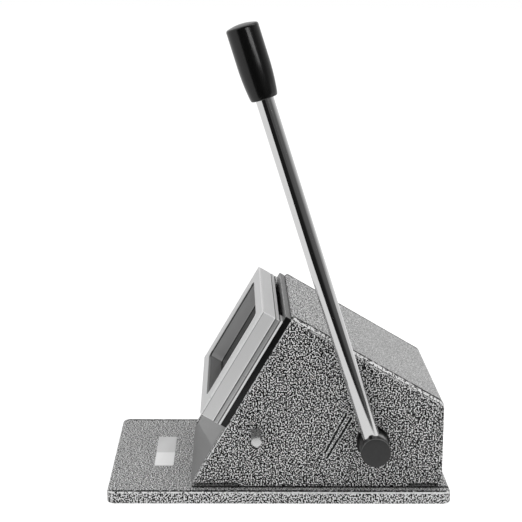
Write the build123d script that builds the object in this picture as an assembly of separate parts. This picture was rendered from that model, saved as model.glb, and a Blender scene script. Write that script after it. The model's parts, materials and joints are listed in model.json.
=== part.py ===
from build123d import *
from math import acos, asin, atan2, cos, hypot, pi, radians, sin, sqrt, tan
import os

# Bench cutter that punches bank card sized blanks out of a sheet.
# Millimetres. The origin is the middle of the base's underside, +Z is up,
# the sloped front faces -Y and the lever is on the +X side.

# Card that the cutter makes
card_length = 85.6
card_width = 54.0
card_corner = 3.18

# Base, as margins round the housing
foot_setback = 48.8
rear_setback = 4.5
base_side_margin = 9.0
base_thickness = 7.0
base_corner = 5.0
base_edge = 1.2
base_under_edge = 0.5

# Housing of two side plates, a bent cover and a front panel
shaft_to_back = 38.5
side_thickness = 6.0
side_edge = 0.6
front_slope = 60.0
foot_relief = 2.0
front_relief_length = 26.5
rear_relief_length = 17.3
cover_thickness = 2.0
cover_bend = 2.5
cover_lift = 0.5
panel_thickness = 2.0
panel_bend = 1.5
panel_return = 14.0
panel_lap = 3.0
panel_gap = 0.1

# Die stack on the sloped front, from the back plate to the window frame
stack_start = 38.8
stack_rim = 8.25
stack_side_rim = 17.2
stack_overhang = 1.0
guide_margin = 3.5
guide_thickness = 3.8
slot_gap = 1.6
slot_side_gap = 2.2
slot_floor = 6.0
slot_chamfer = 0.7
die_thickness = 2.8
frame_thickness = 9.0
window_gap = 0.4
window_bevel = 1.0
stack_edge = 0.4
die_gap = 0.05

# Lever and its shaft
shaft_radius = 6.0
shaft_edge = 0.5
shaft_tail = 2.8
bush_wall = 1.5
bush_flange_width = 2.0
bush_flange = 1.2
ring_thickness = 1.0
ring_groove = 0.5
ring_width = 1.9
ring_mouth = 60.0
hub_radius = 8.5
hub_length = 18.2
hub_bore = 15.0
hub_edge = 0.5
hub_gap = 0.2
lever_lean = 18.0
lever_swing = 60.0
rod_radius = 5.0
rod_spigot = 3.0
spigot_past_axis = 3.0
grip_start = 208.5
grip_length = 42.0
grip_depth = 28.0
grip_foot_radius = 7.5
grip_waist_radius = 8.75
grip_radius = 9.05
grip_foot_edge = 0.8
grip_taper = 22.0
grip_waist_share = 0.5
grip_rim = 1.4
grip_dome = 1.6

# Stop pin that the lever rests on when it is down
pin_distance = 67.7
pin_radius = 3.0
pin_reach = 18.0
pin_edge = 0.6
stop_gap = 0.3

# Cams, whose lift is the same for each degree of the lever
lift_radius = 5.6
cam_reach = 30.0
cam_thickness = 14.0
cam_spacing = 40.0
cam_hub_radius = 12.0
cam_margin = 4.0
cam_corner = 0.8
cam_points = 7
cam_gap = 0.05
cam_pin_radius = 2.0
cam_pin_angle = 20.0
cam_pin_inset = 0.5

# Bar between the side plates that the cams rest on
bar_radius = 5.0
bar_height = 18.0
bar_spigot_radius = 3.0
bar_spigot_length = 3.5
bar_screw_depth = 14.0

# Ram with its punch, pillars, bushes and springs
punch_rest = 0.5
punch_thickness = 20.0
ram_side_gap = 3.0
ram_end = 5.5
ram_thickness = 10.0
ram_corner = 6.0
pillar_x = 32.0
pillar_to_card = 5.0
pillar_radius = 3.0
pillar_tail = 5.0
pillar_collar = 1.5
pillar_collar_radius = 4.5
pillar_spigot = 2.0
pillar_recess = 0.2
ram_bush_wall = 1.45
ram_bush_flange = 1.5
ram_bush_flange_width = 1.25
spring_wire = 1.0
spring_clearance = 0.4
thrust_depth = 17.75
thrust_side = 4.0
thrust_margin = 0.4
thrust_edge = 2.0
pad_thickness = 3.0
pad_width = 16.0
pad_length = 20.0
pad_pocket = 1.0

# Screws: radius of the shank and of the head, with the head's height
m3_radius = 1.5
m3_head = 2.75
m3_height = 1.65
m3_length = 8.0
m4_radius = 2.0
m4_head = 3.5
m4_height = 4.0
m4_sunk_head = 3.9
m4_sunk_height = 2.2
m4_length = 12.0
m5_radius = 2.5
m5_head = 4.25
m5_height = 5.0
m6_radius = 3.0
m6_head = 5.0
m6_height = 6.0
stack_screw_gap = 1.0
stack_screw_inset = 9.25
stack_screw_grip = 5.5
guide_screw_length = 12.0
guide_screw_inset = 10.25
ram_screw_pitch = 16.0
ram_screw_grip = 10.0
panel_screw_share = 0.6
cover_screw_inset = 12.0
base_screw_inset = 14.0

# Clearances: a running fit, a seat in the same body, and the overrun of cuts
running_gap = 0.05
seat_gap = 0.03
overrun = 2.0

# Widths, which the card sets, and places up the front's slope
stack_width = card_length + 2 * stack_side_rim
stack_length = card_width + 2 * stack_rim
stack_end = stack_start + stack_length
slot_width = card_length + 2 * slot_side_gap
housing_width = stack_width - 2 * stack_overhang
base_width = housing_width + 2 * base_side_margin
half_width = housing_width / 2
inner_half = half_width - side_thickness
plate_mid = half_width - side_thickness / 2
card_s = stack_start + stack_length / 2
front_edge = stack_end + guide_margin
pillar_s = card_width / 2 + pillar_to_card

# Depths outwards from the front's slope, and the shaft behind the ram
slot_low = guide_thickness
slot_high = slot_low + slot_gap
die_high = slot_high + die_thickness
stack_high = die_high + frame_thickness
punch_face = guide_thickness - punch_rest
ram_front = punch_face - punch_thickness
ram_back = ram_front - ram_thickness
block_back = ram_back - thrust_depth
pad_back = block_back - pad_thickness
shaft_depth = cam_reach + cam_gap - pad_back
lift_angle = 90 + front_slope
stroke = lift_radius * radians(lever_swing)

# The front's frame and the places along the base
tilt = radians(front_slope)
shaft_setback = card_s * cos(tilt) + shaft_depth * sin(tilt)
housing_depth = shaft_setback + shaft_to_back + cover_thickness
base_length = foot_setback + housing_depth + rear_setback
foot_y = foot_setback - base_length / 2
foot_z = base_thickness + foot_relief
back_y = foot_y + shaft_setback + shaft_to_back
rear_y = back_y + cover_thickness
slope = Plane(origin=(0, foot_y, foot_z), x_dir=(1, 0, 0), z_dir=(0, -sin(tilt), cos(tilt)))
top_y = foot_y + front_edge * cos(tilt)
top_z = foot_z + front_edge * sin(tilt)
back_z = top_z - (back_y - top_y) / tan(tilt)
shaft_y = foot_y + shaft_setback
shaft_z = foot_z + card_s * sin(tilt) - shaft_depth * cos(tilt)
bush_radius = shaft_radius + bush_wall
bush_end = half_width + bush_flange
ram_bush_radius = pillar_radius + running_gap + ram_bush_wall
hub_start = bush_end + hub_gap
rod_x = hub_start + hub_length / 2
lean = radians(lever_lean)


def block(low_x, high_x, low_y, high_y, low_z, high_z):
    size = Box(high_x - low_x, high_y - low_y, high_z - low_z)
    return Pos((low_x + high_x) / 2, (low_y + high_y) / 2, (low_z + high_z) / 2) * size


def plate(width, low_s, high_s, low_n, high_n):
    # flat piece in the front's own frame: across, up the slope, outwards
    return block(-width / 2, width / 2, low_s, high_s, low_n, high_n)


def post(radius, low, high):
    # upright cylinder between two heights
    return Pos(0, 0, (low + high) / 2) * Cylinder(radius, high - low)


def along_x(shape, y, z):
    # turns an upright piece so that its height runs along +X
    return Plane(origin=(0, y, z), x_dir=(0, 1, 0), z_dir=(1, 0, 0)) * shape


def card_hole(gap, low_n, high_n):
    # card shaped block, larger than the card by a gap all round
    outline = RectangleRounded(card_length + 2 * gap, card_width + 2 * gap, card_corner + gap)
    return Pos(0, card_s, low_n) * extrude(outline, high_n - low_n)


def sunk_screw(radius, head, height, length):
    # countersunk screw with its head's top at zero, pointing down
    points = [
        (0, 0),
        (head, 0),
        (radius, -height),
        (radius, -length),
        (0, -length),
    ]
    return revolve(Plane.XZ * make_face(Polyline(points, close=True)), Axis.Z)


def cap_screw(radius, head, height, length):
    # cylinder head screw with the underside of its head at zero, pointing down
    return post(radius, -length, 0) + post(head, 0, height)


def sunk_hole(radius, head, height, length):
    return sunk_screw(radius + seat_gap, head + seat_gap, height, length + overrun)


def side_outline():
    # one side plate seen from the lever's side, with its foot relieved at both ends
    points = [
        (foot_y, foot_z),
        (top_y, top_z),
        (back_y, back_z),
        (back_y, foot_z),
        (back_y - rear_relief_length, foot_z),
        (back_y - rear_relief_length, base_thickness),
        (foot_y + front_relief_length, base_thickness),
        (foot_y + front_relief_length, foot_z),
    ]
    outline = make_face(Polyline(points, close=True))
    corner = outline.vertices().sort_by_distance((back_y, back_z))[0]
    return fillet(corner, cover_bend)


def base_screw_places():
    # along the part of the side plates that stands on the base
    first = foot_y + front_relief_length + base_screw_inset
    last = back_y - rear_relief_length - base_screw_inset
    return [(side * plate_mid, y) for side in (-1, 1) for y in (first, last)]


def base_plate():
    body = extrude(RectangleRounded(base_width, base_length, base_corner), base_thickness)
    body = fillet(body.edges().group_by(Axis.Z)[-1], base_edge)
    body = chamfer(body.edges().group_by(Axis.Z)[0], base_under_edge)
    hole = Rot(180, 0, 0) * sunk_hole(m4_radius, m4_sunk_head, m4_sunk_height, base_thickness)
    for x, y in base_screw_places():
        body -= Pos(x, y, 0) * hole
    return body


def base_screws():
    screw = sunk_screw(m4_radius, m4_sunk_head, m4_sunk_height, base_thickness + m4_length)
    return [Pos(x, y, 0) * Rot(180, 0, 0) * screw for x, y in base_screw_places()]


def bar_place():
    # the bar lies against the flank of the cams at rest
    tip = cam_point(lift_angle - lever_swing - cam_margin)
    turn = flank_angle(tip, -1)
    out = cam_hub_radius + bar_radius + cam_gap
    y = shaft_y + out * cos(turn) - bar_height * sin(turn)
    z = shaft_z + out * sin(turn) + bar_height * cos(turn)
    return y, z


def pin_place():
    # where the rod comes to rest on the pin at the end of the lever's swing
    reach = asin((rod_radius + pin_radius + stop_gap) / pin_distance)
    turn = lean + radians(lever_swing) + reach
    return shaft_y - pin_distance * sin(turn), shaft_z + pin_distance * cos(turn)


def side_plate(side):
    # side is 1 for the plate by the lever and -1 for the other
    outer = side * half_width
    inner = side * inner_half
    body = extrude(Plane.YZ.offset(min(outer, inner)) * side_outline(), side_thickness)
    body = chamfer(body.edges().group_by(Axis.X)[-1 if side > 0 else 0], side_edge)
    start = min(outer, inner) - overrun
    stop = max(outer, inner) + overrun
    body -= along_x(post(bush_radius + seat_gap, start, stop), shaft_y, shaft_z)
    base_hole = post(m4_radius + seat_gap, -overrun, m4_length + seat_gap)
    for x, y in base_screw_places():
        if x * side > 0:
            body -= Pos(x, y, base_thickness) * base_hole
    guide_hole = post(m3_radius + seat_gap, -guide_screw_length, overrun)
    for x, s in guide_screw_places():
        if x * side > 0:
            body -= slope * Pos(x, s, 0) * guide_hole
    for x, z in cover_screw_places():
        if x * side > 0:
            screw_hole = post(m3_radius + seat_gap, -m3_length - seat_gap, overrun)
            body -= Plane(origin=(x, back_y, z), z_dir=(0, 1, 0)) * screw_hole
    for x, s in panel_screw_places():
        if x * side > 0:
            hole = post(m3_radius + seat_gap, -m3_length, overrun)
            body -= panel_screw_frame(side, s) * hole
    bar_y, bar_z = bar_place()
    if side > 0:
        socket = post(bar_spigot_radius + seat_gap, start, inner + bar_spigot_length + seat_gap)
        body -= along_x(socket, bar_y, bar_z)
        body -= along_x(post(pin_radius + seat_gap, start, stop), *pin_place())
    else:
        body -= along_x(post(m5_radius + seat_gap, start, stop), bar_y, bar_z)
    return body


def top_cover():
    # one bent sheet over the top edges and down the back
    half = cover_thickness / 2
    front = front_edge + half
    front_y = foot_y + front * cos(tilt)
    front_z = foot_z + front * sin(tilt)
    mid_y = back_y + half
    path = FilletPolyline(
        (front_y, front_z),
        (mid_y, front_z - (mid_y - front_y) / tan(tilt)),
        (mid_y, base_thickness + cover_lift),
        radius=cover_bend + half,
    )
    sheet = extrude(Plane.YZ.offset(-half_width) * trace(path, cover_thickness), housing_width)
    for x, z in cover_screw_places():
        hole = sunk_hole(m3_radius, m3_head, m3_height, cover_thickness)
        sheet -= Plane(origin=(x, rear_y, z), z_dir=(0, 1, 0)) * hole
    return sheet


def cover_screw_places():
    low = foot_z + cover_screw_inset
    high = back_z - cover_screw_inset
    return [(side * plate_mid, z) for side in (-1, 1) for z in (low, high)]


def cover_screws():
    screw = sunk_screw(m3_radius, m3_head, m3_height, m3_length)
    return [Plane(origin=(x, rear_y, z), z_dir=(0, 1, 0)) * screw for x, z in cover_screw_places()]


def front_panel():
    # tray that closes the front below the die stack
    half = panel_thickness / 2
    side = inner_half - panel_gap - half
    path = FilletPolyline(
        (-side, -panel_return),
        (-side, -half),
        (side, -half),
        (side, -panel_return),
        radius=panel_bend + half,
    )
    profile = Plane(origin=(0, 0, 0), x_dir=(1, 0, 0), z_dir=(0, -1, 0)) * trace(path, panel_thickness)
    top = stack_start + panel_lap
    tray = Pos(0, top, 0) * extrude(profile, top + panel_return)
    tray = slope * tray
    tray -= Pos(0, 0, base_thickness - base_length / 2) * Box(base_length, base_length, base_length)
    for x, s in pillar_places():
        notch = post(pillar_collar_radius + panel_gap, -panel_thickness - overrun, overrun)
        tray -= slope * Pos(x, s, 0) * notch
    for x, s in panel_screw_places():
        hole = post(m3_radius + seat_gap, -m3_length, overrun)
        tray -= panel_screw_frame(1 if x > 0 else -1, s) * hole
    return tray


def panel_screw_places():
    return [(side * inner_half, panel_screw_share * stack_start) for side in (-1, 1)]


def panel_screw_frame(side, s):
    # on the inner face of the tray's return, pointing into the side plate
    inside = side * (inner_half - panel_gap - panel_thickness)
    return slope * Plane(origin=(inside, s, -panel_return / 2), z_dir=(-side, 0, 0))


def panel_screws():
    screw = cap_screw(m3_radius, m3_head, m3_height, m3_length - side_thickness / 2)
    return [panel_screw_frame(1 if x > 0 else -1, s) * screw for x, s in panel_screw_places()]


def guide_screw_places():
    rows = (stack_start + guide_screw_inset, stack_end - guide_screw_inset)
    return [(side * plate_mid, s) for side in (-1, 1) for s in rows]


def stack_screw_places():
    # from behind, just inside the side plates
    screw_x = inner_half - m4_head - stack_screw_gap
    rows = (stack_start + stack_screw_inset, stack_end - stack_screw_inset)
    return [(side * screw_x, s) for side in (-1, 1) for s in rows]


def stack_screw_holes(low_n, high_n):
    hole = post(m4_radius + seat_gap, low_n, high_n)
    return [Pos(x, s, 0) * hole for x, s in stack_screw_places()]


def pillar_places():
    return [(x, card_s + s) for x in (-pillar_x, pillar_x) for s in (-pillar_s, pillar_s)]


def guide_plate():
    # back plate of the stack, which guides the punch
    body = plate(housing_width, stack_start, front_edge, 0, guide_thickness)
    body -= card_hole(running_gap, -overrun, guide_thickness + overrun)
    for hole in stack_screw_holes(-overrun, guide_thickness + overrun):
        body -= hole
    sunk = sunk_hole(m3_radius, m3_head, m3_height, guide_thickness)
    for x, s in guide_screw_places():
        body -= Pos(x, s, guide_thickness) * sunk
    for x, s in pillar_places():
        body -= Pos(x, s, 0) * post(pillar_spigot + seat_gap, -overrun, guide_thickness + overrun)
    return slope * body


def guide_screws():
    screw = sunk_screw(m3_radius, m3_head, m3_height, guide_screw_length)
    return [slope * Pos(x, s, guide_thickness) * screw for x, s in guide_screw_places()]


def slot_spacer():
    # three sided shim that makes the slot for the sheet and stops its lower edge
    body = plate(stack_width, stack_start, stack_end, slot_low, slot_high)
    floor = stack_start + slot_floor
    body -= plate(slot_width, floor, stack_end + overrun, slot_low - overrun, slot_high + overrun)
    for hole in stack_screw_holes(slot_low - overrun, slot_high + overrun):
        body -= hole
    return slope * body


def die_plate():
    body = plate(stack_width, stack_start, stack_end, slot_high, die_high)
    mouth = body.edges().filter_by(Axis.X).group_by(Axis.Z)[0]
    body = chamfer(mouth.sort_by(Axis.Y)[-1], slot_chamfer)
    body -= card_hole(die_gap, slot_high - overrun, die_high + overrun)
    for hole in stack_screw_holes(slot_high - overrun, die_high + overrun):
        body -= hole
    return slope * body


def window_frame():
    # thick frame whose window holds the cut card
    body = plate(stack_width, stack_start, stack_end, die_high, stack_high)
    body = chamfer(body.edges().group_by(Axis.Z)[-1], stack_edge)
    body -= card_hole(window_gap, die_high - overrun, stack_high + overrun)
    rim = body.edges().group_by(Axis.Z)[-1]
    inner = [edge for edge in rim if abs(edge.center().X) < card_length / 2 + card_corner]
    inner = [edge for edge in inner if abs(edge.center().Y - card_s) < card_width / 2 + card_corner]
    body = chamfer(inner, window_bevel)
    for hole in stack_screw_holes(die_high - overrun, die_high + stack_screw_grip + seat_gap):
        body -= hole
    return slope * body


def stack_screws():
    length = die_high + stack_screw_grip
    screw = Rot(180, 0, 0) * cap_screw(m4_radius, m4_head, m4_height, length)
    return [slope * Pos(x, s, 0) * screw for x, s in stack_screw_places()]


def guide_pillar(x, s):
    # stem for the ram, with a collar behind the guide plate and a spigot in it
    back = ram_back - ram_bush_flange - pillar_tail
    stem = post(pillar_radius, back, 0)
    stem += post(pillar_collar_radius, -pillar_collar, 0)
    stem += post(pillar_spigot, 0, guide_thickness - pillar_recess)
    return slope * Pos(x, s, 0) * stem


def return_spring(x, s):
    # hidden spring between the pillar's collar and the ram, as the sleeve that its turns fill
    bore = pillar_radius + spring_clearance
    sleeve = post(bore + spring_wire, ram_front, -pillar_collar)
    sleeve -= post(bore, ram_front - overrun, overrun)
    return slope * Pos(x, s, 0) * sleeve


def shaft_bush(side):
    body = post(bush_radius, -side_thickness, 0) + post(bush_radius + bush_flange_width, 0, bush_flange)
    body -= post(shaft_radius + running_gap, -side_thickness - overrun, bush_flange + overrun)
    frame = Plane(origin=(side * half_width, shaft_y, shaft_z), x_dir=(0, 1, 0), z_dir=(side, 0, 0))
    return frame * body


def stop_pin():
    y, z = pin_place()
    pin = post(pin_radius, inner_half, half_width + pin_reach)
    pin = chamfer(pin.edges().group_by(Axis.Z)[-1], pin_edge)
    return along_x(pin, y, z)


def tie_bar():
    y, z = bar_place()
    bar = post(bar_radius, -inner_half, inner_half)
    bar += post(bar_spigot_radius, inner_half, inner_half + bar_spigot_length)
    bar -= post(m5_radius + seat_gap, -inner_half - overrun, bar_screw_depth - inner_half + seat_gap)
    return along_x(bar, y, z)


def tie_bar_screw():
    y, z = bar_place()
    screw = cap_screw(m5_radius, m5_head, m5_height, side_thickness + bar_screw_depth)
    return Plane(origin=(-half_width, y, z), z_dir=(-1, 0, 0)) * screw


def lever_frame(x):
    # along the rod, from the shaft's axis
    return Plane(origin=(x, shaft_y, shaft_z), x_dir=(1, 0, 0), z_dir=(0, -sin(lean), cos(lean)))


def cam_point(angle):
    # the flat pad stands at a reach that grows by the same amount for each degree,
    # so the face is an involute of a circle with the lift radius
    reach = cam_reach + lift_radius * radians(lift_angle - angle)
    turn = radians(angle)
    y = reach * cos(turn) + lift_radius * sin(turn)
    z = reach * sin(turn) - lift_radius * cos(turn)
    return y, z


def flank_angle(point, side):
    # where the straight flank through a point touches the cam's hub
    return atan2(point[1], point[0]) + side * acos(cam_hub_radius / hypot(*point))


def hub_point(turn):
    return cam_hub_radius * cos(turn), cam_hub_radius * sin(turn)


def cam(middle_x):
    # involute face between two straight flanks on a round hub, as at rest
    first = lift_angle - lever_swing - cam_margin
    step = (lever_swing + 2 * cam_margin) / (cam_points - 1)
    face = [cam_point(first + step * place) for place in range(cam_points)]
    low_turn = flank_angle(face[0], -1)
    high_turn = flank_angle(face[-1], 1)
    back_turn = (low_turn + high_turn) / 2 - pi
    outline = [
        Line(hub_point(low_turn), face[0]),
        Spline(*face),
        Line(face[-1], hub_point(high_turn)),
        ThreePointArc(hub_point(high_turn), hub_point(back_turn), hub_point(low_turn)),
    ]
    body = extrude(Plane.YZ * make_face(outline), cam_thickness)
    across = body.edges().filter_by(Axis.X)
    corners = across.sort_by(lambda edge: hypot(edge.center().Y, edge.center().Z))
    body = fillet(corners[-2:], cam_corner)
    body -= along_x(post(shaft_radius + seat_gap, -overrun, cam_thickness + overrun), 0, 0)
    pin_hole = post(cam_pin_radius + seat_gap, -cam_hub_radius - overrun, cam_hub_radius + overrun)
    body -= Pos(cam_thickness / 2, 0, 0) * cam_pin_frame() * pin_hole
    return Pos(middle_x - cam_thickness / 2, shaft_y, shaft_z) * body


def cam_pin_frame():
    turn = radians(cam_pin_angle)
    return Plane(origin=(0, 0, 0), x_dir=(1, 0, 0), z_dir=(0, cos(turn), sin(turn)))


def cam_pins():
    reach = cam_hub_radius - cam_pin_inset
    pin = cam_pin_frame() * post(cam_pin_radius, -reach, reach)
    return [Pos(side * cam_spacing / 2, shaft_y, shaft_z) * pin for side in (-1, 1)]


def cam_shaft():
    # from the ring beyond the far bush into the lever's hub
    tail = -bush_end - seat_gap - ring_thickness - shaft_tail
    head = hub_start + hub_bore - seat_gap
    shaft = post(shaft_radius, tail, head)
    shaft = chamfer(shaft.edges().group_by(Axis.Z)[0] + shaft.edges().group_by(Axis.Z)[-1], shaft_edge)
    groove = post(shaft_radius + overrun, 0, ring_thickness + 2 * seat_gap)
    groove -= post(shaft_radius - ring_groove, -overrun, ring_thickness + overrun)
    shaft -= Pos(0, 0, -bush_end - ring_thickness - 2 * seat_gap) * groove
    shaft = along_x(shaft, shaft_y, shaft_z)
    for side in (-1, 1):
        hole = cam_pin_frame() * post(cam_pin_radius + seat_gap, -cam_hub_radius, cam_hub_radius)
        shaft -= Pos(side * cam_spacing / 2, shaft_y, shaft_z) * hole
    shaft -= lever_frame(rod_x) * post(rod_spigot + seat_gap, -spigot_past_axis - seat_gap, hub_radius)
    return shaft


def retaining_ring():
    # open ring in the groove of the shaft
    ring = post(shaft_radius - ring_groove + ring_width, 0, ring_thickness)
    ring -= post(shaft_radius - ring_groove + seat_gap, -overrun, ring_thickness + overrun)
    reach = shaft_radius + ring_width
    half_mouth = reach * tan(radians(ring_mouth / 2))
    mouth = make_face(Polyline((0, 0), (reach, -half_mouth), (reach, half_mouth), close=True))
    ring -= Pos(0, 0, -overrun) * extrude(mouth, ring_thickness + 2 * overrun)
    return Pos(-bush_end - seat_gap - ring_thickness, 0, 0) * along_x(ring, shaft_y, shaft_z)


def lever_hub():
    hub = post(hub_radius, 0, hub_length)
    hub = chamfer(hub.edges().group_by(Axis.Z)[-1], hub_edge)
    hub -= post(shaft_radius + seat_gap, -overrun, hub_bore)
    hub = Pos(hub_start, 0, 0) * along_x(hub, shaft_y, shaft_z)
    hub -= lever_frame(rod_x) * post(rod_spigot + seat_gap, 0, hub_radius + overrun)
    return hub


def lever_rod():
    # bright rod that sits on the hub, with a spigot through hub and shaft
    rod = post(rod_radius, 0, grip_start + grip_depth)
    rod = chamfer(rod.edges().group_by(Axis.Z)[-1], shaft_edge)
    rod = lever_frame(rod_x) * rod
    saddle = post(hub_radius + seat_gap, hub_start - overrun, hub_start + hub_length + overrun)
    rod -= along_x(saddle, shaft_y, shaft_z)
    rod += lever_frame(rod_x) * post(rod_spigot, -spigot_past_axis, hub_radius + rod_radius / 2)
    return rod


def lever_grip():
    # turned grip that swells from its foot and ends in a low dome
    shoulder = grip_length - grip_dome
    waist = (grip_waist_radius, grip_taper * grip_waist_share)
    dome_radius = (grip_radius**2 + grip_dome**2) / (2 * grip_dome)
    crown = grip_length - dome_radius + sqrt(dome_radius**2 - (grip_radius / 2) ** 2)
    outline = [
        Line((0, 0), (grip_foot_radius, 0)),
        ThreePointArc((grip_foot_radius, 0), waist, (grip_radius, grip_taper)),
        Line((grip_radius, grip_taper), (grip_radius, shoulder)),
        ThreePointArc((grip_radius, shoulder), (grip_radius / 2, crown), (0, grip_length)),
        Line((0, grip_length), (0, 0)),
    ]
    profile = make_face(outline)
    corners = profile.vertices()
    profile = fillet(corners.sort_by_distance((grip_radius, shoulder))[0], grip_rim)
    foot = profile.vertices().sort_by_distance((grip_foot_radius, 0))[0]
    profile = fillet(foot, grip_foot_edge)
    body = revolve(Plane.XZ * profile, Axis.Z)
    body -= post(rod_radius + seat_gap, -overrun, grip_depth + seat_gap)
    return lever_frame(rod_x) * Pos(0, 0, grip_start) * body


def punch():
    body = card_hole(0, ram_front, punch_face)
    for hole in ram_screw_holes(ram_front - overrun, ram_front + ram_screw_grip + seat_gap):
        body -= hole
    return slope * body


def ram_screw_places():
    return [(0, card_s + side * ram_screw_pitch / 2) for side in (-1, 1)]


def ram_screw_holes(low_n, high_n):
    hole = post(m6_radius + seat_gap, low_n, high_n)
    return [Pos(x, s, 0) * hole for x, s in ram_screw_places()]


def ram_plate():
    width = 2 * (inner_half - ram_side_gap)
    height = 2 * (pillar_s + ram_end)
    outline = RectangleRounded(width, height, ram_corner)
    body = Pos(0, card_s, ram_back) * extrude(outline, ram_thickness)
    bush_hole = post(ram_bush_radius + seat_gap, ram_back - overrun, ram_front + overrun)
    for x, s in pillar_places():
        body -= Pos(x, s, 0) * bush_hole
    for hole in ram_screw_holes(ram_back - overrun, ram_front + overrun):
        body -= hole
    return slope * body


def ram_bush(x, s):
    body = post(ram_bush_radius, ram_back, ram_front)
    body += post(ram_bush_radius + ram_bush_flange_width, ram_back - ram_bush_flange, ram_back)
    body -= post(pillar_radius + running_gap, ram_back - ram_bush_flange - overrun, ram_front + overrun)
    return slope * Pos(x, s, 0) * body


def thrust_block():
    # carries the cams' push to the middle of the ram
    reach = lift_radius + pad_length / 2 + thrust_margin
    width = cam_spacing + pad_width + 2 * thrust_side
    body = plate(width, card_s - reach, card_s + reach, block_back, ram_back)
    body = chamfer(body.edges().filter_by(Axis.Z), thrust_edge)
    for hole in ram_screw_holes(block_back - overrun, ram_back + overrun):
        body -= hole
    for x, s in ram_screw_places():
        body -= Pos(x, s, 0) * post(m6_head + seat_gap, block_back - overrun, block_back + m6_height)
    for side in (-1, 1):
        body -= pad_block(side, seat_gap, block_back - overrun)
    return slope * body


def ram_screws():
    # long screws that clamp the block, the ram and the punch
    length = ram_front + ram_screw_grip - block_back - m6_height
    screw = Rot(180, 0, 0) * cap_screw(m6_radius, m6_head, m6_height, length)
    return [slope * Pos(x, s, block_back + m6_height) * screw for x, s in ram_screw_places()]


def pad_block(side, gap, low_n):
    # the space of one pad, in line with its cam and let into the thrust block
    middle_x = side * cam_spacing / 2
    middle_s = card_s + lift_radius
    half_across = pad_width / 2 + gap
    half_up = pad_length / 2 + gap
    return block(
        middle_x - half_across,
        middle_x + half_across,
        middle_s - half_up,
        middle_s + half_up,
        low_n,
        block_back + pad_pocket,
    )


def wear_pad(side):
    # hard pad that one cam pushes on
    return slope * pad_block(side, 0, pad_back)


def single_pieces():
    return {
        "base_plate": base_plate(),
        "side_plate_right": side_plate(1),
        "side_plate_left": side_plate(-1),
        "top_cover": top_cover(),
        "front_panel": front_panel(),
        "guide_plate": guide_plate(),
        "slot_spacer": slot_spacer(),
        "die_plate": die_plate(),
        "window_frame": window_frame(),
        "shaft_bush_right": shaft_bush(1),
        "shaft_bush_left": shaft_bush(-1),
        "stop_pin": stop_pin(),
        "tie_bar": tie_bar(),
        "tie_bar_screw": tie_bar_screw(),
        "cam_shaft": cam_shaft(),
        "cam_right": cam(cam_spacing / 2),
        "cam_left": cam(-cam_spacing / 2),
        "retaining_ring": retaining_ring(),
        "lever_hub": lever_hub(),
        "lever_rod": lever_rod(),
        "lever_grip": lever_grip(),
        "punch": punch(),
        "ram_plate": ram_plate(),
        "thrust_block": thrust_block(),
        "wear_pad_right": wear_pad(1),
        "wear_pad_left": wear_pad(-1),
    }


def sets_of_screws():
    return {
        "base_screws": base_screws(),
        "cover_screws": cover_screws(),
        "panel_screws": panel_screws(),
        "guide_screws": guide_screws(),
        "stack_screws": stack_screws(),
        "cam_pins": cam_pins(),
        "ram_screws": ram_screws(),
    }


def numbered_pieces():
    pieces = {}
    for number, (x, s) in enumerate(pillar_places(), start=1):
        pieces[f"guide_pillar_{number}"] = guide_pillar(x, s)
        pieces[f"return_spring_{number}"] = return_spring(x, s)
        pieces[f"ram_bush_{number}"] = ram_bush(x, s)
    return pieces


os.makedirs("parts", exist_ok=True)
for name, shape in {**single_pieces(), **numbered_pieces()}.items():
    export_step(shape, f"parts/{name}.step")
for name, shapes in sets_of_screws().items():
    export_step(Compound(children=list(shapes)), f"parts/{name}.step")
print("stroke", round(stroke, 3), "mm; lift per radian", lift_radius, "mm")
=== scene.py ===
import json
from math import cos, pi, radians, sin

import bmesh
import bpy
from mathutils import Matrix, Vector

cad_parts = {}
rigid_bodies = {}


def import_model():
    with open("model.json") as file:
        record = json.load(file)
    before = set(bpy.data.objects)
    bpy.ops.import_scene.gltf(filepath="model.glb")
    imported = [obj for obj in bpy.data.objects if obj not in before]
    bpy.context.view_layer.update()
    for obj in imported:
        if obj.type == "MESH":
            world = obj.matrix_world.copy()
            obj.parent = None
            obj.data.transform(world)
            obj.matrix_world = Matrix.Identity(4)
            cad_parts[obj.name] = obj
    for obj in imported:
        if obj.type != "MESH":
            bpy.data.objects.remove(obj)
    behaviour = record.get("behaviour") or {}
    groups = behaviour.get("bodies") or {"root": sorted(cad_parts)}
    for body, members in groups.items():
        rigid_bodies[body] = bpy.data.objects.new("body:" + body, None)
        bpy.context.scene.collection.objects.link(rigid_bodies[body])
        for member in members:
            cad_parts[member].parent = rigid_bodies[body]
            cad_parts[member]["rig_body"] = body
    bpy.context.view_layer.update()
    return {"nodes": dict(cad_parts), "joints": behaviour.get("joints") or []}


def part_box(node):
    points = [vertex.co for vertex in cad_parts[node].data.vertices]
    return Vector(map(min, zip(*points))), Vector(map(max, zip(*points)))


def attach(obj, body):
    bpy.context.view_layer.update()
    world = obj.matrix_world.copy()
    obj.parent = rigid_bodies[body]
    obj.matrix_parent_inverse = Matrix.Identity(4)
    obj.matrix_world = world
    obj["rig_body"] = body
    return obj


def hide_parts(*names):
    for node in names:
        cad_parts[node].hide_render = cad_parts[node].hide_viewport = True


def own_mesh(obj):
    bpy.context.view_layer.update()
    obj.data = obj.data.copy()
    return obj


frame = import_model()
scene = bpy.context.scene
nodes = frame["nodes"]
print("frame loaded:", len(nodes), "nodes")

slopeAngle = 60.0  # of the cutting front, in degrees from level
leverLean = radians(18.0)  # of the rod at rest, towards the front


def middleOf(node):
    low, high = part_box(node)
    return (low + high) / 2


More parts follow.
